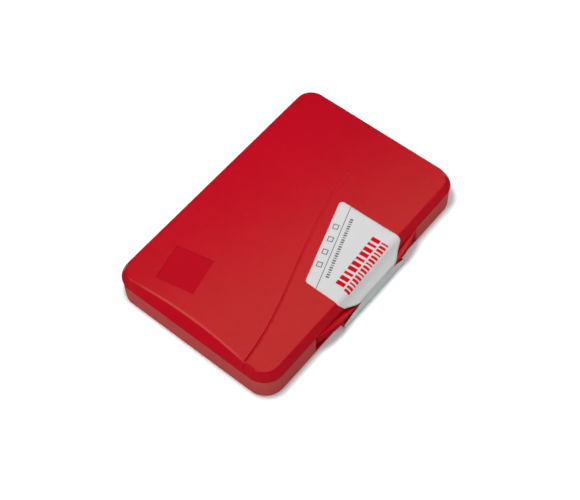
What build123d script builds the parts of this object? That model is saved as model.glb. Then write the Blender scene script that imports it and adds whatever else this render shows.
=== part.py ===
from build123d import *
import math
import os

os.makedirs("parts", exist_ok=True)

# ------------------------------------------------------------------
# Driving dimensions, all in mm. +X is the long side, the thumb lip is
# at -Y, the hinge is at +Y, +Z is up and the case stands on z = 0.
# ------------------------------------------------------------------

# outside of the closed case: trade size No. 1, 4-1/4 x 2-3/4 in
case_length = 108.0
case_width = 70.0
case_height = 13.6
parting_z = 10.1
corner_radius = 7.8

# lid
bevel_inset = 1.85
bevel_rise = case_height - parting_z
bevel_angle = math.degrees(math.atan(bevel_inset / bevel_rise))
rim_radius = 0.8
lid_roof = 1.4
lid_wall = 2.15
cavity_step_z = 10.9
cavity_taper = 47.0

# shallow scoops in the bevel of the left end, one for each lid panel
panel_split_y = -23.5
rear_scoop_depth = 2.0
rear_scoop_deepest_y = 1.5
rear_scoop_start = 0.3
front_scoop_depth = 0.6
front_scoop_end = 0.7
scoop_break = 0.4
front_scoop_fade = 1.6
cutter_overrun = 6.0

# groove that splits the lid face in two panels
groove_width = 0.9
groove_depth = 0.6
groove_end_x = 38.0
groove_rise = groove_depth + 0.02
groove_points = (
    (2.4, -23.35),
    (17.0, -20.95),
    (44.5, -12.4),
    (70.5, -4.9),
    (92.0, -2.2),
)
groove_tangents = ((1, 0.1), (1, 0.08))

# square recess in the lid face
square_size = 14.7
square_depth = 0.25
square_x = -37.2
square_y = 15.9
square_turn = 12.0

# thumb lip on the front of the lid
lip_half = 28.0
lip_out = 2.0
lip_mid_out = 1.3
lip_peak_x = 17.5
lip_inner_y = -33.65
lip_bottom_z = 5.9
lip_floor_z = 7.2

# base tray
base_inset = 0.2
base_wall = 2.0
base_floor = 2.0
foot_radius = 0.4
recess_half = 28.6
recess_face_y = -33.3
recess_back_y = -31.6
recess_low_z = 1.2
recess_side_wall = 1.7

# finger tab low on the front of the base
tab_left = -15.0
tab_right = 18.4
tab_front_y = -36.95
tab_height = 3.2

# hinge, two lugs on the lid between ears on the base
hinge_x = 34.0
hinge_y = 36.0
hinge_z = 4.4
knuckle_radius = 1.6
lug_width = 12.0
lug_gap = 0.25
ear_width = 3.2
lug_inner_y = 33.2
lug_inner_z = parting_z + 0.8
lug_outer_z = parting_z + 0.4
pin_radius = 0.8
pin_play = 0.05
notch_low_z = 2.2
stop_reach_y = 38.4
stop_top_z = 2.66
stop_lip_rise = 0.44
ear_front_z = stop_top_z + 0.5
ear_foot_depth = 1.0

# pad cup, the moulded insert that carries the pad
cup_inset = 3.6
cup_wall = 1.2
cup_floor = 1.2
cup_high_z = 11.2
cup_radius = 4.6
cup_rim_radius = 0.4

# pad
film_thickness = 0.2
film_margin = 1.0
film_radius = 1.5
foam_radius = 2.0
cover_gap = 0.4
cover_thickness = 0.5
cover_radius = 2.5
cover_top_z = 10.6

# paper seal
paper = 0.25
paper_gap = 0.04
seal_left = -15.2
seal_right = 18.9
seal_waist_left = -6.2
seal_waist_right = 11.8
seal_foot_left = -15.4
seal_foot_right = 19.0
seal_foot_z = 0.5
seal_back_left_y = -19.5
seal_back_right_y = -8.2
seal_waist_y = -case_width / 2 - 2.05
seal_waist_z = 6.9
seal_bend_z = 8.0
seal_slit = 0.5


# ------------------------------------------------------------------
# Cutters for the lid
# ------------------------------------------------------------------

side_x = -case_length / 2
top_x = side_x + bevel_inset
rear_corner_y = case_width / 2 - corner_radius

# rear panel: the bevel widens towards the middle of the short end
with BuildPart() as rear_scoop:
    with BuildSketch(Plane.XY.offset(parting_z)):
        with BuildLine():
            Line((side_x - cutter_overrun, panel_split_y), (side_x, panel_split_y))
            Line((side_x, panel_split_y), (side_x, rear_corner_y))
            Line((side_x, rear_corner_y), (side_x - cutter_overrun, rear_corner_y))
            Line((side_x - cutter_overrun, rear_corner_y), (side_x - cutter_overrun, panel_split_y))
        make_face()
    with BuildSketch(Plane.XY.offset(case_height)):
        with BuildLine():
            Line((side_x - cutter_overrun, panel_split_y), (top_x + rear_scoop_start, panel_split_y))
            ThreePointArc(
                (top_x + rear_scoop_start, panel_split_y),
                (top_x + rear_scoop_depth, rear_scoop_deepest_y),
                (top_x, rear_corner_y),
            )
            Line((top_x, rear_corner_y), (side_x - cutter_overrun, rear_corner_y))
            Line((side_x - cutter_overrun, rear_corner_y), (side_x - cutter_overrun, panel_split_y))
        make_face()
    loft(ruled=True)

# break for the long curved edge that the rear scoop leaves on the lid face
edge_low_z = case_height - scoop_break
edge_share = (edge_low_z - parting_z) / bevel_rise
edge_under = 0.05
with BuildPart() as rear_scoop_break:
    for edge_z, share, edge_in in (
        (edge_low_z, edge_share, -edge_under),
        (case_height, 1, scoop_break),
    ):
        split_x = side_x + share * (bevel_inset + rear_scoop_start) + edge_in
        deepest_x = side_x + share * (bevel_inset + rear_scoop_depth) + edge_in
        corner_x = side_x + share * bevel_inset + edge_in
        with BuildSketch(Plane.XY.offset(edge_z)):
            with BuildLine():
                Line((side_x - cutter_overrun, panel_split_y), (split_x, panel_split_y))
                ThreePointArc(
                    (split_x, panel_split_y),
                    (deepest_x, rear_scoop_deepest_y),
                    (corner_x, rear_corner_y),
                )
                Line((corner_x, rear_corner_y), (side_x - cutter_overrun, rear_corner_y))
                Line(
                    (side_x - cutter_overrun, rear_corner_y),
                    (side_x - cutter_overrun, panel_split_y),
                )
            make_face()
    loft(ruled=True)

# front panel: the bevel runs on from the groove and fades out in the corner
front_corner_y = -case_width / 2 + corner_radius
front_fade_y = front_corner_y - front_scoop_fade
with BuildPart() as front_scoop:
    for cut_z, cut_x, split_in, corner_in in (
        (parting_z, side_x, 0, 0),
        (case_height, top_x, front_scoop_depth, front_scoop_end),
    ):
        with BuildSketch(Plane.XY.offset(cut_z)):
            with BuildLine():
                Polyline(
                    (side_x - cutter_overrun, panel_split_y),
                    (cut_x + split_in, panel_split_y),
                    (cut_x + corner_in, front_corner_y),
                    (cut_x - 0.7, front_fade_y),
                    (side_x - cutter_overrun, front_fade_y),
                    close=True,
                )
            make_face()
    loft(ruled=True)

# groove: full depth at the left end, running out to nothing
groove_run = groove_end_x - side_x
groove_len = math.hypot(groove_run, groove_rise)
groove_plane = Plane(
    origin=(side_x, 0, case_height - groove_depth),
    x_dir=(groove_run / groove_len, 0, groove_rise / groove_len),
    z_dir=(-groove_rise / groove_len, 0, groove_run / groove_len),
)
with BuildPart() as groove:
    with BuildSketch(groove_plane):
        with BuildLine():
            Spline(*groove_points, tangents=groove_tangents)
        trace(line_width=groove_width)
    extrude(amount=2.0)

# thumb scoop: a long dished cut in front of the bevel
with BuildPart() as thumb_scoop:
    with BuildSketch(Plane.XZ.offset(case_width / 2)):
        with BuildLine():
            ThreePointArc(
                (-lip_half, parting_z), (0, lip_floor_z), (lip_half, parting_z)
            )
            Polyline(
                (lip_half, parting_z),
                (lip_half, parting_z + 1),
                (-lip_half, parting_z + 1),
                (-lip_half, parting_z),
            )
        make_face()
    extrude(amount=4)

# ------------------------------------------------------------------
# Lid
# ------------------------------------------------------------------

lug_left = -hinge_x - lug_width / 2
lug_right = hinge_x - lug_width / 2
lug_planes = (Plane.YZ.offset(lug_left), Plane.YZ.offset(lug_right))

with BuildPart() as lid_shell:
    with BuildSketch(Plane.XY.offset(parting_z)):
        RectangleRounded(case_length, case_width, corner_radius)
    extrude(amount=bevel_rise, taper=bevel_angle)
    fillet(
        lid_shell.edges().filter_by_position(
            Axis.Z, case_height - 0.001, case_height + 0.001
        ),
        rim_radius,
    )
    add(rear_scoop.part, mode=Mode.SUBTRACT)
    add(front_scoop.part, mode=Mode.SUBTRACT)
    add(rear_scoop_break.part, mode=Mode.SUBTRACT)
    with BuildSketch(Plane.XY.offset(lip_bottom_z)):
        with BuildLine():
            Spline(
                (-lip_half, -case_width / 2),
                (-lip_peak_x, -case_width / 2 - lip_out),
                (0, -case_width / 2 - lip_mid_out),
                (lip_peak_x, -case_width / 2 - lip_out),
                (lip_half, -case_width / 2),
            )
            Line((lip_half, -case_width / 2), (lip_half, lip_inner_y))
            Line((lip_half, lip_inner_y), (-lip_half, lip_inner_y))
            Line((-lip_half, lip_inner_y), (-lip_half, -case_width / 2))
        make_face()
    extrude(amount=parting_z - lip_bottom_z)
    add(thumb_scoop.part, mode=Mode.SUBTRACT)
    add(groove.part, mode=Mode.SUBTRACT)
    with BuildSketch(Plane.XY.offset(case_height - square_depth)):
        with Locations((square_x, square_y)):
            Rectangle(square_size, square_size, rotation=square_turn)
    extrude(amount=2.0, mode=Mode.SUBTRACT)
    # cavity: straight walls, then a taper that keeps clear of the scoops
    for cavity_z, cavity_rise, cavity_lean in (
        (parting_z - 0.5, cavity_step_z - parting_z + 0.5, 0),
        (cavity_step_z, case_height - lid_roof - cavity_step_z, cavity_taper),
    ):
        with BuildSketch(Plane.XY.offset(cavity_z)):
            RectangleRounded(
                case_length - 2 * lid_wall,
                case_width - 2 * lid_wall,
                corner_radius - lid_wall,
            )
        extrude(amount=cavity_rise, taper=cavity_lean, mode=Mode.SUBTRACT)
    with BuildSketch(*lug_planes):
        with BuildLine():
            Polyline(
                (lug_inner_y, lug_inner_z),
                (lug_inner_y, hinge_z),
                (hinge_y, hinge_z),
                (hinge_y + knuckle_radius * 0.94, hinge_z + knuckle_radius * 0.35),
                (case_width / 2 - 0.2, lug_outer_z),
                (lug_inner_y, lug_inner_z),
            )
        make_face()
    extrude(amount=lug_width)
    with BuildSketch(*lug_planes):
        with Locations((hinge_y, hinge_z)):
            Circle(knuckle_radius)
    extrude(amount=lug_width)
    with BuildSketch(*lug_planes):
        with Locations((hinge_y, hinge_z)):
            Circle(pin_radius + pin_play)
    extrude(amount=lug_width, mode=Mode.SUBTRACT)
lid_shell.part.label = "lid_shell"
export_step(lid_shell.part, "parts/lid_shell.step")

# ------------------------------------------------------------------
# Base tray
# ------------------------------------------------------------------

base_length = case_length - 2 * base_inset
base_width = case_width - 2 * base_inset
ear_span = lug_width + 2 * lug_gap + 2 * ear_width
ear_left = -hinge_x - ear_span / 2
ear_right = hinge_x - ear_span / 2
slot_span = lug_width + 2 * lug_gap
wall_y = base_width / 2

with BuildPart() as base_tray:
    with BuildSketch():
        RectangleRounded(base_length, base_width, corner_radius - base_inset)
    extrude(amount=parting_z)
    fillet(
        base_tray.edges().filter_by_position(Axis.Z, -0.001, 0.001), foot_radius
    )
    with BuildSketch(Plane.XY.offset(base_floor)):
        RectangleRounded(
            base_length - 2 * base_wall,
            base_width - 2 * base_wall,
            corner_radius - base_inset - base_wall,
        )
    extrude(amount=parting_z, mode=Mode.SUBTRACT)
    # finger recess under the lip, with its own wall behind it
    with BuildSketch(Plane.XY.offset(base_floor)):
        with Locations((0, (recess_face_y + recess_back_y) / 2)):
            Rectangle(
                2 * (recess_half + recess_side_wall), recess_back_y - recess_face_y
            )
    extrude(amount=parting_z - base_floor)
    with BuildSketch(Plane.XY.offset(recess_low_z)):
        with Locations((0, recess_face_y - 2)):
            Rectangle(2 * recess_half, 4)
    extrude(amount=parting_z, mode=Mode.SUBTRACT)
    with BuildSketch():
        with BuildLine():
            Polyline(
                (tab_left, recess_face_y + 0.5),
                (tab_left, tab_front_y),
                (tab_right, tab_front_y),
                (tab_right, recess_face_y + 0.5),
                close=True,
            )
        make_face()
    extrude(amount=tab_height)
    # hinge ears and the stop under each lug
    with BuildSketch(Plane.YZ.offset(ear_left), Plane.YZ.offset(ear_right)):
        with BuildLine():
            Polyline(
                (wall_y - ear_foot_depth, 0),
                (stop_reach_y, 0),
                (stop_reach_y, ear_front_z),
                (hinge_y + knuckle_radius, hinge_z),
                (hinge_y, hinge_z + knuckle_radius),
                (wall_y - ear_foot_depth, hinge_z + knuckle_radius + 1.0),
                close=True,
            )
        make_face()
    extrude(amount=ear_span)
    with BuildSketch(
        Plane.YZ.offset(-hinge_x - slot_span / 2),
        Plane.YZ.offset(hinge_x - slot_span / 2),
    ):
        with BuildLine():
            Polyline(
                (wall_y - base_wall - 1.0, notch_low_z),
                (hinge_y, stop_top_z),
                (stop_reach_y + 1.0, stop_top_z + stop_lip_rise),
                (stop_reach_y + 1.0, parting_z + 1.0),
                (wall_y - base_wall - 1.0, parting_z + 1.0),
                close=True,
            )
        make_face()
    extrude(amount=slot_span, mode=Mode.SUBTRACT)
    with BuildSketch(Plane.YZ.offset(ear_left), Plane.YZ.offset(ear_right)):
        with Locations((hinge_y, hinge_z)):
            Circle(pin_radius)
    extrude(amount=ear_span, mode=Mode.SUBTRACT)
base_tray.part.label = "base_tray"
export_step(base_tray.part, "parts/base_tray.step")

# ------------------------------------------------------------------
# Hinge pins
# ------------------------------------------------------------------

for pin_name, pin_start in (("hinge_pin_left", ear_left), ("hinge_pin_right", ear_right)):
    with BuildPart() as hinge_pin:
        with BuildSketch(Plane.YZ.offset(pin_start)):
            with Locations((hinge_y, hinge_z)):
                Circle(pin_radius)
        extrude(amount=ear_span)
    hinge_pin.part.label = pin_name
    export_step(hinge_pin.part, "parts/" + pin_name + ".step")

# ------------------------------------------------------------------
# Pad cup
# ------------------------------------------------------------------

cup_length = case_length - 2 * cup_inset
cup_width = case_width - 2 * cup_inset
well_length = cup_length - 2 * cup_wall
well_width = cup_width - 2 * cup_wall
well_z = base_floor + cup_floor

with BuildPart() as pad_cup:
    with BuildSketch(Plane.XY.offset(base_floor)):
        RectangleRounded(cup_length, cup_width, cup_radius)
    extrude(amount=cup_high_z - base_floor)
    with BuildSketch(Plane.XY.offset(well_z)):
        RectangleRounded(well_length, well_width, cup_radius - cup_wall)
    extrude(amount=cup_high_z, mode=Mode.SUBTRACT)
    fillet(
        pad_cup.edges().filter_by_position(
            Axis.Z, cup_high_z - 0.001, cup_high_z + 0.001
        ),
        cup_rim_radius,
    )
pad_cup.part.label = "pad_cup"
export_step(pad_cup.part, "parts/pad_cup.step")

# ------------------------------------------------------------------
# Glue film, foam and cloth cover
# ------------------------------------------------------------------

cover_length = well_length - 2 * cover_gap
cover_width = well_width - 2 * cover_gap
foam_length = cover_length - 2 * cover_thickness
foam_width = cover_width - 2 * cover_thickness
foam_low_z = well_z + film_thickness
foam_high_z = cover_top_z - cover_thickness

with BuildPart() as glue_film:
    with BuildSketch(Plane.XY.offset(well_z)):
        RectangleRounded(
            foam_length - 2 * film_margin, foam_width - 2 * film_margin, film_radius
        )
    extrude(amount=film_thickness)
glue_film.part.label = "glue_film"
export_step(glue_film.part, "parts/glue_film.step")

with BuildPart() as pad_foam:
    with BuildSketch(Plane.XY.offset(foam_low_z)):
        RectangleRounded(foam_length, foam_width, foam_radius)
    extrude(amount=foam_high_z - foam_low_z)
pad_foam.part.label = "pad_foam"
export_step(pad_foam.part, "parts/pad_foam.step")

with BuildPart() as pad_cover:
    with BuildSketch(Plane.XY.offset(foam_low_z)):
        RectangleRounded(cover_length, cover_width, cover_radius)
    extrude(amount=cover_top_z - foam_low_z)
    with BuildSketch(Plane.XY.offset(foam_low_z)):
        RectangleRounded(foam_length, foam_width, foam_radius)
    extrude(amount=foam_high_z - foam_low_z, mode=Mode.SUBTRACT)
pad_cover.part.label = "pad_cover"
export_step(pad_cover.part, "parts/pad_cover.step")

# ------------------------------------------------------------------
# Paper seal, slit at its waist: one half on the lid, one on the base
# ------------------------------------------------------------------

front_y = -case_width / 2
front_top_y = front_y + bevel_inset
seal_start_y = -6.0
seal_low = case_height + paper_gap

with BuildPart() as seal_lid_half:
    with BuildSketch(Plane.YZ.offset(seal_left - 1)):
        with BuildLine():
            Polyline(
                (seal_start_y, seal_low),
                (front_top_y, seal_low),
                (front_y - 0.05, parting_z + 0.05),
                (seal_waist_y, seal_bend_z),
                (seal_waist_y, seal_waist_z),
                (seal_waist_y - paper, seal_waist_z),
                (seal_waist_y - paper, seal_bend_z + 0.1),
                (front_y - 0.05 - paper, parting_z + 0.2),
                (front_top_y - 0.15, seal_low + paper),
                (seal_start_y, seal_low + paper),
                close=True,
            )
        make_face()
    extrude(amount=seal_right - seal_left + 2)
    with BuildSketch():
        with BuildLine():
            Polyline(
                (seal_left, seal_back_left_y),
                (seal_right, seal_back_right_y),
                (seal_right, front_top_y),
                (seal_waist_right, seal_waist_y - 2 * paper),
                (seal_waist_left, seal_waist_y - 2 * paper),
                (seal_left, front_y + seal_slit),
                close=True,
            )
        make_face()
    extrude(amount=2 * case_height, mode=Mode.INTERSECT)
seal_lid_half.part.label = "seal_lid_half"
export_step(seal_lid_half.part, "parts/seal_lid_half.step")

seal_flare_z = tab_height - 0.2
with BuildPart() as seal_base_half:
    with BuildSketch(Plane.XZ.offset(-tab_front_y + paper_gap)):
        with BuildLine():
            Polyline(
                (seal_waist_left, seal_waist_z - seal_slit),
                (seal_waist_right, seal_waist_z - seal_slit),
                (seal_foot_right, seal_flare_z),
                (seal_foot_right, seal_foot_z),
                (seal_foot_left, seal_foot_z),
                (seal_foot_left, seal_flare_z),
                close=True,
            )
        make_face()
    extrude(amount=paper)
seal_base_half.part.label = "seal_base_half"
export_step(seal_base_half.part, "parts/seal_base_half.step")
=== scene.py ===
import math

import bmesh
import bpy
import numpy as np
from mathutils import Matrix, Vector, geometry, noise


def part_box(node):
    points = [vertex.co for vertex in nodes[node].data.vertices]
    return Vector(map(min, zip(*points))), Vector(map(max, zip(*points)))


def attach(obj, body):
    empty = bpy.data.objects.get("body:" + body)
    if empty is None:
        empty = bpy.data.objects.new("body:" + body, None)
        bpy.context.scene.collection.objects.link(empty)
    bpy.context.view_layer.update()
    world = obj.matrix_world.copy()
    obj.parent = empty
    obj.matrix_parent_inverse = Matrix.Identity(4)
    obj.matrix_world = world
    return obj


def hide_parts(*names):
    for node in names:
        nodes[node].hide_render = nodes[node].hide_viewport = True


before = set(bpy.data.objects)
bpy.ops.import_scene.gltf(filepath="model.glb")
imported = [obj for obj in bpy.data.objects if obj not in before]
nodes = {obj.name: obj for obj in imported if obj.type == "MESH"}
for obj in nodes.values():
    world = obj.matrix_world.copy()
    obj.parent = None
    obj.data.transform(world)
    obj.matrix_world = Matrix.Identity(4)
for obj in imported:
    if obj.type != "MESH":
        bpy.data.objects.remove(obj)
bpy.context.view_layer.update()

MM = 0.001

# ---------------------------------------------------------------------------
# Dimensions that the looks share with the model, in mm
# ---------------------------------------------------------------------------

CASE_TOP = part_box("lid_shell")[1].z / MM
FRONT_Y = -35.0
PARTING_Z = 10.1
BEVEL_INSET = 1.85

SQUARE_CENTRE = (-37.2, 15.9)
SQUARE_SIZE = 14.7
SQUARE_TURN = math.radians(12)

# the area of the lid face that holds the groove; its front corner reaches further left
GROOVE_LEFT = -49.1
GROOVE_END_LEFT = -51.6
GROOVE_END_TOP_Y = -21.1
GROOVE_TOP_Y = -1.1
GROOVE_LOW_Y = -25.1

# the seal runs down the front to a slit where the lid opens
PAPER = 0.12
SEAL_CLEAR = 0.05
SEAL_EDGE_PITCH = 0.55
FOLD_START_Y = -27.5
FOLD_CLEAR = 0.26
FOLD_RADIUS = 1.5
BEND_Z = 8.0
SLIT_Y = -37.08
SLIT_Z = 6.6
SLIT_GAP = 0.12
SLIT_LEFT = -6.2
SLIT_RIGHT = 11.9
SEAL_END_Z = 0.12


# ---------------------------------------------------------------------------
# Helpers
# ---------------------------------------------------------------------------


def srgb(red, green, blue):
    """A linear colour from 0 to 255 screen values."""
    linear = []
    for value in (red, green, blue):
        share = value / 255
        linear.append(share / 12.92 if share <= 0.04045 else ((share + 0.055) / 1.055) ** 2.4)
    return (*linear, 1.0)


def make_object(name, vertices, faces):
    """A smooth mesh object from points in mm."""
    mesh = bpy.data.meshes.new(name)
    mesh.from_pydata([tuple(c * MM for c in v) for v in vertices], [], faces)
    mesh.validate()
    mesh.update()
    piece = bpy.data.objects.new(name, mesh)
    bpy.context.scene.collection.objects.link(piece)
    for polygon in mesh.polygons:
        polygon.use_smooth = True
    return piece


class Nodes:
    """Short calls for building one material's node tree."""

    def __init__(self, name):
        self.material = bpy.data.materials.new(name)
        self.material.use_nodes = True
        self.tree = self.material.node_tree
        self.shader = self.tree.nodes["Principled BSDF"]

    def add(self, kind, **settings):
        node = self.tree.nodes.new(kind)
        for key, value in settings.items():
            setattr(node, key, value)
        return node

    def plug(self, socket, value):
        if isinstance(value, bpy.types.NodeSocket):
            self.tree.links.new(value, socket)
        else:
            socket.default_value = value

    def math(self, operation, first, second=0.0, third=0.0):
        node = self.add("ShaderNodeMath", operation=operation)
        for socket, value in zip(node.inputs, (first, second, third)):
            self.plug(socket, value)
        return node.outputs[0]

    def span(self, value, low, high, out_low=0.0, out_high=1.0):
        """The value's way from low to high, as a number from out_low to out_high."""
        node = self.add("ShaderNodeMapRange")
        for socket, number in zip(node.inputs, (value, low, high, out_low, out_high)):
            self.plug(socket, number)
        return node.outputs[0]

    def product(self, *masks):
        total = masks[0]
        for mask in masks[1:]:
            total = self.math("MULTIPLY", total, mask)
        return total

    def blend(self, first, second, share):
        """Two values added up, the second with a share and the first with the rest."""
        rest = self.math("MULTIPLY", first, 1 - share)
        return self.math("ADD", rest, self.math("MULTIPLY", second, share))

    def mix(self, factor, first, second):
        node = self.add("ShaderNodeMix", data_type="RGBA")
        self.plug(node.inputs[0], factor)
        self.plug(node.inputs[6], first)
        self.plug(node.inputs[7], second)
        return node.outputs[2]

    def parts(self, vector):
        node = self.add("ShaderNodeSeparateXYZ")
        self.plug(node.inputs[0], vector)
        return node.outputs[0], node.outputs[1], node.outputs[2]

    def place(self):
        """The point on the piece, in mm, in the frame that the piece is modelled in."""
        coordinates = self.add("ShaderNodeTexCoord").outputs["Object"]
        scaled = self.add("ShaderNodeVectorMath", operation="SCALE")
        self.plug(scaled.inputs[0], coordinates)
        scaled.inputs["Scale"].default_value = 1 / MM
        return scaled.outputs[0]

    def noise(self, place, size, detail=2.0, roughness=0.5):
        """Noise whose features are about size mm."""
        node = self.add("ShaderNodeTexNoise")
        self.plug(node.inputs["Vector"], place)
        node.inputs["Scale"].default_value = 1 / size
        node.inputs["Detail"].default_value = detail
        node.inputs["Roughness"].default_value = roughness
        return node.outputs["Fac"]

    def cells(self, place, per_mm):
        """How far each point is from the middle of its cell, with about per_mm cells to a mm."""
        node = self.add("ShaderNodeTexVoronoi", feature="F1")
        self.plug(node.inputs["Vector"], place)
        node.inputs["Scale"].default_value = per_mm
        return node.outputs["Distance"]

    def bump(self, height, distance, strength=1.0, normal=None):
        """A bump whose height of 1 stands for distance mm."""
        node = self.add("ShaderNodeBump")
        node.inputs["Strength"].default_value = strength
        node.inputs["Distance"].default_value = distance * MM
        self.plug(node.inputs["Height"], height)
        if normal is not None:
            self.plug(node.inputs["Normal"], normal)
        return node.outputs[0]

    def soft_edges(self, radius):
        """A normal that rounds the sharp edges by radius mm."""
        node = self.add("ShaderNodeBevel", samples=6)
        node.inputs["Radius"].default_value = radius * MM
        return node.outputs[0]

    def finish(self, **inputs):
        for key, value in inputs.items():
            self.plug(self.shader.inputs[key.replace("_", " ")], value)
        return self.material


def give(piece, material):
    piece.data.materials.clear()
    piece.data.materials.append(material)


# ---------------------------------------------------------------------------
# Materials
# ---------------------------------------------------------------------------

LID_RED = srgb(182, 5, 31)
LID_RED_DEEP = srgb(166, 3, 26)
# painted shade: a darker red for the square, so that it looks dimmer than the lid face around it
SQUARE_RED_PAINTED_SHADE = srgb(168, 1, 27)
# painted light: a steady, lighter lid red for the groove, which hides the shade in it
GROOVE_RED_PAINTED_LIGHT = srgb(180, 4, 30)
# painted reflection: the wall reds are the case red painted paler and pinker, as the upright walls look
# where they reflect the pale floor
WALL_RED_PAINTED_REFLECTION = srgb(200, 76, 74)
WALL_RED_DEEP_PAINTED_REFLECTION = srgb(165, 49, 49)


def square_mask(m, place, height):
    """1 on the shallow square recess of the lid, 0 elsewhere."""
    turned = m.add("ShaderNodeMapping", vector_type="TEXTURE")
    m.plug(turned.inputs["Vector"], place)
    turned.inputs["Location"].default_value = (*SQUARE_CENTRE, 0)
    turned.inputs["Rotation"].default_value = (0, 0, SQUARE_TURN)
    along, across, _ = m.parts(turned.outputs[0])
    reach = m.math("MAXIMUM", m.math("ABSOLUTE", along), m.math("ABSOLUTE", across))
    on_square = m.span(reach, SQUARE_SIZE / 2 - 0.05, SQUARE_SIZE / 2 + 0.05, 1.0, 0.0)
    return m.product(on_square, m.span(height, CASE_TOP - 0.5, CASE_TOP - 0.4))


def groove_mask(m, x, y, height):
    """1 inside the engraved groove of the lid, 0 elsewhere."""
    soft = 0.1
    left_end = m.product(
        m.span(x, GROOVE_END_LEFT, GROOVE_END_LEFT + soft),
        m.span(y, GROOVE_END_TOP_Y, GROOVE_END_TOP_Y + soft, 1.0, 0.0),
    )
    in_columns = m.math("MAXIMUM", m.span(x, GROOVE_LEFT, GROOVE_LEFT + soft), left_end)
    in_rows = m.product(
        m.span(y, GROOVE_TOP_Y, GROOVE_TOP_Y + soft, 1.0, 0.0),
        m.span(y, GROOVE_LOW_Y, GROOVE_LOW_Y + soft),
    )
    sunk = m.span(height, CASE_TOP - 0.06, CASE_TOP - 0.02, 1.0, 0.0)
    return m.product(in_columns, in_rows, sunk)


def lid_plastic():
    m = Nodes("case_plastic_satin")
    place = m.place()
    x, y, height = m.parts(place)
    grain = m.noise(place, 0.22, 3.0, 0.6)
    mottle = m.noise(place, 1.6, 3.0, 0.55)
    cloud = m.noise(place, 14.0, 2.0, 0.5)
    square = square_mask(m, place, height)
    groove = groove_mask(m, x, y, height)

    tone = m.blend(m.blend(mottle, cloud, 0.4), grain, 0.65)
    colour = m.mix(m.span(tone, 0.38, 0.62), LID_RED, LID_RED_DEEP)
    # painted shade: the square is painted a darker red than the lid face
    colour = m.mix(m.math("MULTIPLY", square, 0.95), colour, SQUARE_RED_PAINTED_SHADE)
    # painted light: the groove is painted in a steady lighter red, against the shade in it
    colour = m.mix(m.math("MULTIPLY", groove, 0.9), colour, GROOVE_RED_PAINTED_LIGHT)
    # satin, with a dull square and a dull groove
    rough = m.span(grain, 0.3, 0.7, 0.13, 0.2)
    rough = m.math("MULTIPLY_ADD", square, 0.82, rough)
    rough = m.math("MULTIPLY_ADD", groove, 0.4, rough)
    relief = m.bump(grain, 0.02, 0.5, m.soft_edges(0.12))
    relief = m.bump(mottle, 0.02, 0.4, relief)
    return m.finish(Base_Color=colour, Roughness=rough, Normal=relief, Specular_Tint=(1.0, 0.95, 0.5, 1))


def base_plastic():
    m = Nodes("case_plastic_grained_painted_reflection")
    place = m.place()
    grain = m.noise(place, 0.42, 2.0, 0.6)
    mottle = m.noise(place, 2.5, 2.0, 0.5)
    pits = m.span(m.cells(place, 1.9), 0.15, 0.5)
    tone = m.math("MULTIPLY_ADD", mottle, 0.15, m.blend(grain, pits, 0.25))
    # the grain's tone differs at random and also follows the bump height, so its hollows and pits are
    # painted darker: painted shade
    colour = m.mix(m.span(tone, 0.38, 0.8), WALL_RED_DEEP_PAINTED_REFLECTION, WALL_RED_PAINTED_REFLECTION)
    # painted reflection: the upright walls are painted paler and pinker than the faces that look up, as
    # if they reflected the pale floor
    facing = m.parts(m.add("ShaderNodeNewGeometry").outputs["True Normal"])[2]
    colour = m.mix(m.span(facing, 0.25, 0.6), colour, LID_RED)
    rough = m.span(grain, 0.3, 0.7, 0.42, 0.6)
    relief = m.bump(tone, 0.05, 0.6, m.soft_edges(0.2))
    return m.finish(Base_Color=colour, Roughness=rough, Normal=relief, Specular_IOR_Level=0.15)


def cup_plastic():
    m = Nodes("cup_plastic_matt")
    place = m.place()
    grain = m.noise(place, 0.35, 3.0, 0.6)
    tone = m.span(m.noise(place, 5.0, 3.0), 0.35, 0.65)
    colour = m.mix(tone, (0.012, 0.012, 0.013, 1), (0.022, 0.021, 0.023, 1))
    rough = m.span(grain, 0.3, 0.7, 0.38, 0.55)
    relief = m.bump(grain, 0.02, 0.6, m.soft_edges(0.15))
    return m.finish(Base_Color=colour, Roughness=rough, Normal=relief)


def pin_steel():
    m = Nodes("pin_steel_drawn")
    place = m.place()
    stretched = m.add("ShaderNodeMapping")
    m.plug(stretched.inputs["Vector"], place)
    stretched.inputs["Scale"].default_value = (0.15, 6.0, 6.0)
    streak = m.noise(stretched.outputs[0], 1.0, 3.0, 0.6)
    colour = m.mix(m.span(streak, 0.3, 0.7), (0.42, 0.42, 0.43, 1), (0.6, 0.6, 0.61, 1))
    rough = m.span(streak, 0.3, 0.7, 0.22, 0.38)
    relief = m.bump(streak, 0.01, 0.4, m.soft_edges(0.1))
    return m.finish(Base_Color=colour, Roughness=rough, Normal=relief, Metallic=1.0)


def glue_clear():
    m = Nodes("glue_film_dull")
    place = m.place()
    tone = m.span(m.noise(place, 3.0, 3.0), 0.35, 0.65)
    colour = m.mix(tone, srgb(206, 196, 160), srgb(222, 214, 186))
    return m.finish(Base_Color=colour, Roughness=0.45, Normal=m.bump(m.noise(place, 0.8), 0.03, 0.5))


def foam_open_cell():
    m = Nodes("foam_ink_soaked")
    place = m.place()
    depth = m.span(m.cells(place, 1.8), 0.1, 0.7, 1.0, 0.0)
    # painted shade: the colour follows the bump height, darker where the cells dip
    colour = m.mix(depth, srgb(96, 6, 20), srgb(150, 14, 34))
    return m.finish(Base_Color=colour, Roughness=0.75, Normal=m.bump(depth, 0.25, 0.9))


THREAD_PITCH = 0.55


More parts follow.
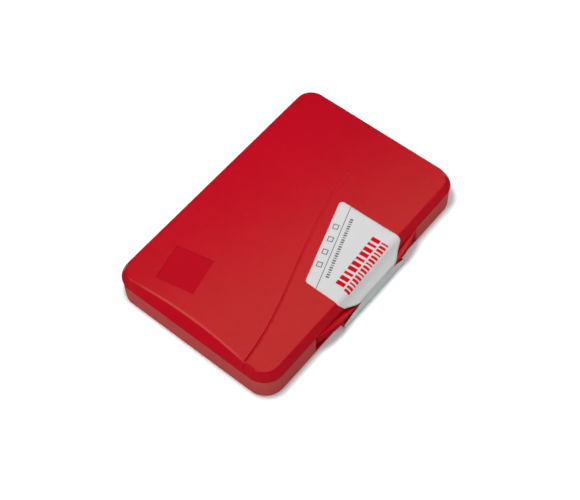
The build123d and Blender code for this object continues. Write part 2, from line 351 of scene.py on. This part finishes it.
def cover_cloth():
    m = Nodes("cloth_ink_soaked")
    place = m.place()
    x, y, _ = m.parts(place)
    across = m.math("SINE", m.math("MULTIPLY", x, math.tau / THREAD_PITCH))
    along = m.math("SINE", m.math("MULTIPLY", y, math.tau / THREAD_PITCH))
    weave = m.product(across, along)
    thread = m.noise(place, 0.25, 2.0, 0.6)
    wet = m.span(m.noise(place, 9.0, 4.0, 0.55), 0.38, 0.62)
    lift = m.math("ADD", m.math("MULTIPLY", weave, 0.5), m.math("MULTIPLY", thread, 0.6))
    # painted shade: the colour follows the weave's height, so its hollows are painted darker than the
    # raised threads
    tone = m.span(lift, -0.3, 0.9)
    dark = m.mix(wet, srgb(104, 4, 20), srgb(74, 2, 14))
    light = m.mix(wet, srgb(158, 14, 36), srgb(128, 8, 28))
    colour = m.mix(tone, dark, light)
    rough = m.span(wet, 0.0, 1.0, 0.7, 0.42)
    return m.finish(Base_Color=colour, Roughness=rough, Normal=m.bump(lift, 0.09, 0.8), Sheen_Weight=0.12)


PRINT_BLACK = srgb(52, 50, 52)
PRINT_RED = srgb(192, 2, 20)
SEAL_WHITE = srgb(203, 202, 202)
SEAL_SHADE = srgb(196, 195, 195)

# print on the flat seal: rows that lie at an angle in degrees, each at its distance across, in mm
RULE_ANGLE = 18.33
RULE_ACROSS = -18.1
RULE_HALF = 0.13
BOX_PITCH = 5.5
BOX_START = -15.2
BOX_ACROSS = -15.9
BOX_HALF = 1.05
BOX_HOLE_HALF = 0.72
BOX_COUNT = 4
BLACK_ROW = dict(across=-20.15, half=0.6, start=-16.8, pitch=1.0, count=26, fill=0.3)
RED_ANGLE = 3.5
RED_ROWS = (
    dict(across=-28.9, half=1.7, start=-11.3, pitch=2.37, count=10, fill=0.36),
    dict(across=-32.6, half=1.35, start=-12.15, pitch=1.63, count=15, fill=0.34),
)


def seal_paper():
    """Coated paper with a generic print. Its UV map holds each point's place on the flat seal, in mm."""
    m = Nodes("seal_paper_printed")
    uv = m.add("ShaderNodeUVMap", uv_map="flat").outputs[0]

    def turned(angle):
        """Distances along and across lines at that angle, in degrees."""
        node = m.add("ShaderNodeVectorRotate", rotation_type="Z_AXIS")
        m.plug(node.inputs["Vector"], uv)
        node.inputs["Angle"].default_value = -math.radians(angle)
        return m.parts(node.outputs[0])[:2]

    def band(value, centre, half, soft=0.06):
        off = m.math("ABSOLUTE", m.math("SUBTRACT", value, centre))
        return m.span(off, half - soft, half + soft, 1.0, 0.0)

    def bar_row(along, across, row):
        """Whole bars, every third one a little thinner. fill is half a bar's share of the pitch."""
        length = row["pitch"] * row["count"]
        cell = m.math("MULTIPLY_ADD", along, 1 / row["pitch"], -row["start"] / row["pitch"])
        third = m.math("FRACT", m.math("MULTIPLY", cell, 1 / 3))
        half_bar = m.math("SUBTRACT", row["fill"], m.span(third, 0.66, 0.67, 0.0, 0.12))
        off = m.math("ABSOLUTE", m.math("SUBTRACT", m.math("FRACT", cell), 0.5))
        bar = m.span(m.math("SUBTRACT", off, half_bar), -0.03, 0.03, 1.0, 0.0)
        in_row = band(along, row["start"] + length / 2, length / 2, 0.01)
        return m.product(bar, in_row, band(across, row["across"], row["half"]))

    def box_row(along, across):
        """Empty squares in a row."""
        length = BOX_PITCH * BOX_COUNT
        cell = m.math("FRACT", m.math("MULTIPLY_ADD", along, 1 / BOX_PITCH, -BOX_START / BOX_PITCH))
        block = m.product(band(cell, 0.5, 0.2, 0.01), band(across, BOX_ACROSS, BOX_HALF))
        hole = m.product(band(cell, 0.5, 0.14, 0.01), band(across, BOX_ACROSS, BOX_HOLE_HALF))
        in_row = band(along, BOX_START + length / 2, length / 2, 0.05)
        return m.product(m.math("SUBTRACT", block, hole), in_row)

    along, across = turned(RULE_ANGLE)
    rule = band(across, RULE_ACROSS, RULE_HALF, 0.05)
    black = m.math("MAXIMUM", rule, box_row(along, across))
    black = m.math("MAXIMUM", black, bar_row(along, across, BLACK_ROW))
    along, across = turned(RED_ANGLE)
    red = m.math("MAXIMUM", *(bar_row(along, across, row) for row in RED_ROWS))

    fibre = m.noise(m.place(), 0.45, 3.0, 0.6)
    colour = m.mix(m.span(fibre, 0.3, 0.7), SEAL_WHITE, SEAL_SHADE)
    colour = m.mix(m.math("MULTIPLY", black, 0.88), colour, PRINT_BLACK)
    colour = m.mix(red, colour, PRINT_RED)
    rough = m.span(fibre, 0.3, 0.7, 0.42, 0.55)
    relief = m.bump(fibre, 0.01, 0.5)
    return m.finish(Base_Color=colour, Roughness=rough, Normal=relief, Specular_IOR_Level=0.1)


# ---------------------------------------------------------------------------
# Paper seal
# ---------------------------------------------------------------------------


def round_outline(corners, steps=6):
    """A closed outline of (x, y, radius) corners with each corner rounded."""
    outline = []
    count = len(corners)
    for i, (x, y, radius) in enumerate(corners):
        here = Vector((x, y))
        before = (Vector(corners[i - 1][:2]) - here).normalized()
        after = (Vector(corners[(i + 1) % count][:2]) - here).normalized()
        if radius <= 0:
            outline.append(here)
            continue
        half = before.angle(after) / 2
        reach = radius / math.tan(half)
        middle = here + (before + after).normalized() * (radius / math.sin(half))
        first = here + before * reach - middle
        last = here + after * reach - middle
        for k in range(steps + 1):
            share = k / steps
            spoke = first.lerp(last, share).normalized() * radius
            outline.append(middle + spoke)
    return outline


def fill_outline(outline, pitch):
    """Triangles over an outline, with inner points on a grid."""
    size = len(outline)
    ring = []
    for i in range(size):
        a, b = outline[i], outline[(i + 1) % size]
        parts = max(1, int((b - a).length / pitch))
        ring += [a.lerp(b, k / parts) for k in range(parts)]
    border = np.array([tuple(p) for p in ring])
    low, high = border.min(0), border.max(0)
    inner = []
    for x in np.arange(low[0] + pitch / 2, high[0], pitch):
        for y in np.arange(low[1] + pitch / 2, high[1], pitch):
            if np.hypot(border[:, 0] - x, border[:, 1] - y).min() > pitch * 0.45:
                inner.append(Vector((x, y)))
    edges = [(i, (i + 1) % len(ring)) for i in range(len(ring))]
    made = geometry.delaunay_2d_cdt(ring + inner, edges, [], 1, 1e-5)
    return made[0], made[2]


def bent(path, distance):
    """The point at a distance along a path."""
    left = distance
    for a, b in zip(path, path[1:]):
        step = math.hypot(b[0] - a[0], b[1] - a[1])
        if left <= step or b is path[-1]:
            break
        left -= step
    share = left / step
    return a[0] + (b[0] - a[0]) * share, a[1] + (b[1] - a[1]) * share


def reach_along(path, test):
    """How far along a path the first point that passes a test is."""
    total = 0.0
    for a, b in zip(path, path[1:]):
        step = math.hypot(b[0] - a[0], b[1] - a[1])
        parts = max(1, int(step / 0.02))
        for k in range(parts + 1):
            share = k / parts
            if test(a[0] + (b[0] - a[0]) * share, a[1] + (b[1] - a[1]) * share):
                return total + step * share
        total += step
    return total


def smooth_path(points, radius, steps=6):
    """A path in the YZ plane whose inner corners are rounded over at most radius mm on each side."""
    path = [points[0]]
    for a, b, c in zip(points, points[1:], points[2:]):
        here = Vector(b)
        before = Vector(a) - here
        after = Vector(c) - here
        reach = min(radius, before.length * 0.45, after.length * 0.45)
        first = here + before.normalized() * reach
        last = here + after.normalized() * reach
        for k in range(steps + 1):
            t = k / steps
            point = first * (1 - t) ** 2 + here * (2 * t * (1 - t)) + last * t * t
            path.append(tuple(point))
    path.append(points[-1])
    return path


def paper_sheet(name, outline, path):
    """A sheet from its flat outline (x, distance along the path), bent and given its thickness."""
    points, faces = fill_outline(outline, SEAL_EDGE_PITCH)
    vertices = [(p.x, *bent(path, p.y)) for p in points]
    sheet = make_object(name, vertices, faces)
    layer = sheet.data.uv_layers.new(name="flat")
    for loop in sheet.data.loops:
        flat = points[loop.vertex_index]
        layer.data[loop.index].uv = (flat.x, -flat.y)
    solid = sheet.modifiers.new("thickness", "SOLIDIFY")
    solid.thickness = PAPER * MM
    solid.offset = 1.0
    return sheet


def lid_seal_path():
    """From y = 0 on the lid face, over the rim in a soft fold and down the bevel to the slit."""
    slope = math.atan2(CASE_TOP - PARTING_Z, BEVEL_INSET)
    flat = (FOLD_START_Y, CASE_TOP + SEAL_CLEAR)
    fold = (FRONT_Y + BEVEL_INSET - FOLD_CLEAR * math.tan(slope / 2), CASE_TOP + FOLD_CLEAR)
    foot = (FRONT_Y - math.sin(slope) * FOLD_CLEAR * 0.6, PARTING_Z)
    over = smooth_path([flat, fold, foot, (SLIT_Y, BEND_Z), (SLIT_Y, SLIT_Z)], FOLD_RADIUS, 10)
    return [(0.0, CASE_TOP + SEAL_CLEAR), *over]


def make_lid_seal():
    """Its corners are x, distance along the path, and radius. Four of them are found by height."""
    path = lid_seal_path()
    rim_run = reach_along(path, lambda y, z: z < 11.9)
    left_run = reach_along(path, lambda y, z: z < 10.0)
    edge_run = reach_along(path, lambda y, z: z < 12.9)
    end_run = reach_along(path, lambda y, z: z <= SLIT_Z + 0.001)
    outline = round_outline([
        (-15.2, 19.4, 1.3),
        (18.9, 8.1, 1.4),
        (19.4, rim_run, 0.8),
        (SLIT_RIGHT, end_run, 0.0),
        (SLIT_LEFT, end_run, 0.0),
        (-13.6, left_run, 0.7),
        (-15.35, edge_run, 1.0),
    ])
    return paper_sheet("seal_lid_sheet", outline, path)


def make_base_seal():
    path = smooth_path([(SLIT_Y, SLIT_Z - SLIT_GAP), (-37.04, 5.0), (-37.0, SEAL_END_Z)], 1.2)
    length = reach_along(path, lambda y, z: z <= SEAL_END_Z + 0.001)
    flare = reach_along(path, lambda y, z: z <= 3.2)
    outline = round_outline([
        (SLIT_LEFT, 0.0, 0.0),
        (SLIT_RIGHT, 0.0, 0.0),
        (19.2, flare, 0.5),
        (19.0, length, 0.4),
        (-15.4, length, 0.4),
        (-15.6, flare, 0.5),
    ])
    return paper_sheet("seal_base_sheet", outline, path)


# ---------------------------------------------------------------------------
# Pad
# ---------------------------------------------------------------------------


def ring(half_x, half_y, radius, corner_steps=8, long_steps=40, short_steps=24):
    """A rounded rectangle's points and, for each, how near it is to a corner's middle (1) or not (0)."""
    points = []
    centres = (
        (half_x - radius, half_y - radius, 0),
        (radius - half_x, half_y - radius, 90),
        (radius - half_x, radius - half_y, 180),
        (half_x - radius, radius - half_y, 270),
    )
    for i, (cx, cy, start) in enumerate(centres):
        for k in range(corner_steps + 1):
            angle = math.radians(start + 90 * k / corner_steps)
            near = 1 - abs(2 * k / corner_steps - 1)
            points.append((cx + radius * math.cos(angle), cy + radius * math.sin(angle), near))
        nx, ny, following = centres[(i + 1) % 4]
        angle = math.radians(following)
        last = points[-1]
        target = (nx + radius * math.cos(angle), ny + radius * math.sin(angle))
        steps = long_steps if i % 2 == 0 else short_steps
        for k in range(1, steps):
            share = k / steps
            points.append((
                last[0] + (target[0] - last[0]) * share,
                last[1] + (target[1] - last[1]) * share,
                0.0,
            ))
    return points


def pad_surface(name, half_x, half_y, radius, low, edge, top, pull, tuck, closed):
    """A crowned pad: sides that pull in by pull at half height, a rounded shoulder and a crowned face."""
    shoulder = 0.9
    side_steps = 10
    shoulder_steps = 6
    crown_steps = 26
    # each level is how far in it is, its height and its share of the corner tuck
    levels = []
    for k in range(side_steps + 1):
        share = k / side_steps
        inward = pull * math.sin(math.pi * share) ** 1.2
        levels.append((inward, low + (edge - shoulder - low) * share, 1 - share))
    for k in range(1, shoulder_steps + 1):
        angle = math.radians(90 * k / shoulder_steps)
        inward = shoulder * (1 - math.cos(angle))
        levels.append((inward, edge - shoulder + shoulder * math.sin(angle), 0.0))
    for k in range(1, crown_steps + 1):
        inset = shoulder + (half_y - shoulder - 0.8) * (k / crown_steps) ** 1.25
        share = (inset - shoulder) / (half_y - shoulder)
        levels.append((inset, edge + (top - edge) * (1 - (1 - share) ** 2.2), 0.0))
    vertices = []
    count = 0
    for inward, height, tucked in levels:
        points = ring(half_x - inward, half_y - inward, max(radius - inward * 0.6, 0.35))
        count = len(points)
        for i, (x, y, near) in enumerate(points):
            fold = tuck * tucked * near * (0.6 + 0.4 * math.sin(i * 2.4))
            reach = math.hypot(x, y)
            x -= x / reach * fold
            y -= y / reach * fold
            wave = 0.0
            if height > edge:
                wave = 0.07 * noise.noise(Vector((x * 0.16, y * 0.16, 3.7)))
            vertices.append((x, y, height + wave))
    faces = []
    rows = len(levels)
    for r in range(rows - 1):
        for i in range(count):
            j = (i + 1) % count
            faces.append((r * count + i, r * count + j, (r + 1) * count + j, (r + 1) * count + i))
    # one face closes the innermost ring
    inner = (rows - 1) * count
    faces.append(tuple(inner + i for i in range(count)))
    if closed:
        faces.append(tuple(reversed(range(count))))
    piece = make_object(name, vertices, faces)
    mesh = bmesh.new()
    mesh.from_mesh(piece.data)
    wide = [f for f in mesh.faces if len(f.verts) > 4]
    bmesh.ops.triangulate(mesh, faces=wide)
    mesh.to_mesh(piece.data)
    mesh.free()
    return piece


def make_pad():
    foam_low, foam_high = [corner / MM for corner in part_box("pad_foam")]
    cover_low, cover_high = [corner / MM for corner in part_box("pad_cover")]
    foam = pad_surface(
        "foam_pad", foam_high.x - 0.1, foam_high.y - 0.1, radius=2.0,
        low=foam_low.z, edge=foam_high.z - 0.65, top=foam_high.z - 0.15,
        pull=0.35, tuck=0.2, closed=True,
    )
    cover = pad_surface(
        "cloth_cover", cover_high.x - 0.05, cover_high.y - 0.05, radius=2.5,
        low=cover_low.z, edge=cover_high.z - 0.55, top=cover_high.z - 0.08,
        pull=0.3, tuck=0.35, closed=False,
    )
    solid = cover.modifiers.new("thickness", "SOLIDIFY")
    solid.thickness = 0.4 * MM
    solid.offset = -1.0
    return foam, cover


# ---------------------------------------------------------------------------
# Stage, lights, camera
# ---------------------------------------------------------------------------


def make_camera():
    azimuth, elevation, roll = math.radians(49.34), math.radians(57.58), math.radians(-1.733)
    distance, lens = 458.9, 79.33
    aim = Vector((-2.05, -1.73, 0.0))
    forward = Vector((
        math.sin(azimuth) * math.cos(elevation),
        math.cos(azimuth) * math.cos(elevation),
        -math.sin(elevation),
    ))
    level = Vector((math.cos(azimuth), -math.sin(azimuth), 0))
    upward = level.cross(forward)
    right = level * math.cos(roll) + upward * math.sin(roll)
    up = upward * math.cos(roll) - level * math.sin(roll)
    data = bpy.data.cameras.new("camera")
    data.lens = lens
    data.sensor_width = 36
    camera = bpy.data.objects.new("camera", data)
    bpy.context.scene.collection.objects.link(camera)
    turn = Matrix((right, up, -forward)).transposed().to_4x4()
    camera.matrix_world = Matrix.Translation((aim - forward * distance) * MM) @ turn
    data.clip_start = 0.01
    bpy.context.scene.camera = camera


# the floor is a lit table, so that it stays white around the object
FLOOR_HALF = 3000  # mm
# painted light: near the object the floor is tinted cyan, against the red light that the case bounces
# onto it
FLOOR_NEAR = (0.82, 0.89, 0.89, 1)
FLOOR_FAR = (0.9, 0.9, 0.9, 1)
FLOOR_GLOW = 0.16
FLOOR_GLOW_FAR = 0.95
FLOOR_GLOW_REACH = (0.06, 0.24)  # m from the origin
WORLD_EVEN = 0.22
WORLD_IN_GLOSS = 0.02
WORLD_LOW_GLOSS = 0.5
WORLD_IN_VIEW = 1.0


def make_floor():
    corners = ((-1, -1), (1, -1), (1, 1), (-1, 1))
    vertices = [(x * FLOOR_HALF, y * FLOOR_HALF, 0) for x, y in corners]
    floor = make_object("floor", vertices, [(0, 1, 2, 3)])
    m = Nodes("floor_pale")
    # the glow rises away from the object, so that the far floor meets the white background
    shape = m.add("ShaderNodeNewGeometry")
    reach = m.add("ShaderNodeVectorMath", operation="LENGTH")
    m.plug(reach.inputs[0], shape.outputs["Position"])
    near, far = FLOOR_GLOW_REACH
    away = m.span(reach.outputs["Value"], near, far)
    glow = m.math("MULTIPLY_ADD", away, FLOOR_GLOW_FAR - FLOOR_GLOW, FLOOR_GLOW)
    # painted light: the cyan tint near the object cancels the red light bounced onto the floor
    colour = m.mix(away, FLOOR_NEAR, FLOOR_FAR)
    m.finish(Base_Color=colour, Roughness=0.9, Specular_IOR_Level=0.0)
    m.finish(Emission_Color=(0.98, 1, 1, 1), Emission_Strength=glow)
    give(floor, m.material)
    floor.visible_glossy = False


def area_light(name, place, size_x, size_y, power):
    """A soft light at a place in m. It points down and isn't seen itself."""
    data = bpy.data.lights.new(name, "AREA")
    data.shape = "RECTANGLE"
    data.size = size_x
    data.size_y = size_y
    data.energy = power
    lamp = bpy.data.objects.new(name, data)
    bpy.context.scene.collection.objects.link(lamp)
    lamp.location = place
    lamp.visible_camera = False
    return lamp


def aim_at(lamp, target):
    lamp.rotation_mode = "QUATERNION"
    lamp.rotation_quaternion = (lamp.location - Vector(target)).to_track_quat("Z", "Y")


def make_world():
    """Even white light, which reflections see as dim, so that the glossy faces keep their colour."""
    world = bpy.data.worlds.new("world")
    bpy.context.scene.world = world
    world.use_nodes = True
    tree = world.node_tree
    path = tree.nodes.new("ShaderNodeLightPath")

    def choose(is_on, value_off, value_on):
        node = tree.nodes.new("ShaderNodeMix")
        tree.links.new(is_on, node.inputs[0])
        for socket, value in ((node.inputs[2], value_off), (node.inputs[3], value_on)):
            if isinstance(value, float):
                socket.default_value = value
            else:
                tree.links.new(value, socket)
        return node.outputs[0]

    def level(low, high, value, value_low, value_high):
        node = tree.nodes.new("ShaderNodeMapRange")
        tree.links.new(value, node.inputs["Value"])
        numbers = {"From Min": low, "From Max": high, "To Min": value_low, "To Max": value_high}
        for name, number in numbers.items():
            node.inputs[name].default_value = number
        return node.outputs[0]

    # low behind the object the pale floor shows at a glance along the rims
    heading = tree.nodes.new("ShaderNodeSeparateXYZ")
    tree.links.new(tree.nodes.new("ShaderNodeTexCoord").outputs["Generated"], heading.inputs[0])
    away = tree.nodes.new("ShaderNodeMath")
    away.operation = "MINIMUM"
    tree.links.new(heading.outputs[0], away.inputs[0])
    tree.links.new(heading.outputs[1], away.inputs[1])
    low_down = level(-0.1, 0.3, heading.outputs[2], WORLD_LOW_GLOSS, WORLD_IN_GLOSS)
    in_gloss = choose(level(0.05, 0.2, away.outputs[0], 0.0, 1.0), WORLD_IN_GLOSS, low_down)
    unseen = choose(path.outputs["Is Glossy Ray"], WORLD_EVEN, in_gloss)
    strength = choose(path.outputs["Is Camera Ray"], unseen, WORLD_IN_VIEW)
    background = tree.nodes["Background"]
    background.inputs["Color"].default_value = (1, 1, 1, 1)
    tree.links.new(strength, background.inputs["Strength"])


def make_lights():
    make_world()
    # overhead softbox, a little to the rear left: it gives the light and the narrow shadow
    softbox = area_light("softbox", (-0.048, 0.008, 0.34), 0.085, 0.07, 0.48)
    softbox.data.spread = math.radians(120)
    softbox.visible_glossy = False
    aim_at(softbox, (0.03, 0.06, 0))
    # low fill from the left, for the left wall
    fill = area_light("fill", (-0.55, 0.0, 0.16), 0.3, 0.2, 0.6)
    fill.visible_glossy = False
    aim_at(fill, (0, 0, 0))
    # small fill near the right front corner, which falls off along the front wall
    front_fill = area_light("front_fill", (0.14, -0.17, 0.12), 0.1, 0.08, 0.08)
    front_fill.visible_glossy = False
    aim_at(front_fill, (0.03, -0.03, 0))
    # card that only reflections see: its rear edge runs across the lid face
    card = area_light("card", (0.5, 0.215, 1.0), 0.8, 0.36, 0.72)
    card.rotation_euler = (0, 0, math.radians(-22))
    card.visible_diffuse = False
    # strip that draws the light line along the rim of the left end
    strip = area_light("strip", (-0.27, 0.33, 0.6), 0.42, 0.3, 0.8)
    strip.data.color = (0.82, 0.86, 1.0)
    strip.visible_diffuse = False
    aim_at(strip, (0, 0, 0))


def dress_cad():
    """Materials for the CAD nodes that stay in view."""
    give(nodes["lid_shell"], lid_plastic())
    give(nodes["base_tray"], base_plastic())
    give(nodes["pad_cup"], cup_plastic())
    steel = pin_steel()
    give(nodes["hinge_pin_left"], steel)
    give(nodes["hinge_pin_right"], steel)
    give(nodes["glue_film"], glue_clear())


def add_soft_pieces():
    paper = seal_paper()
    lid_seal = make_lid_seal()
    base_seal = make_base_seal()
    for piece, body, node in ((lid_seal, "lid", "seal_lid_half"), (base_seal, "base", "seal_base_half")):
        give(piece, paper)
        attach(piece, body)
        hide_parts(node)
    foam, cover = make_pad()
    give(foam, foam_open_cell())
    give(cover, cover_cloth())
    for piece, node, slot in ((foam, "pad_foam", "foam"), (cover, "pad_cover", "cloth")):
        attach(piece, "base")
        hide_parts(node)


dress_cad()
add_soft_pieces()
make_floor()
make_lights()
make_camera()
bpy.context.scene.view_settings.view_transform = "Standard"
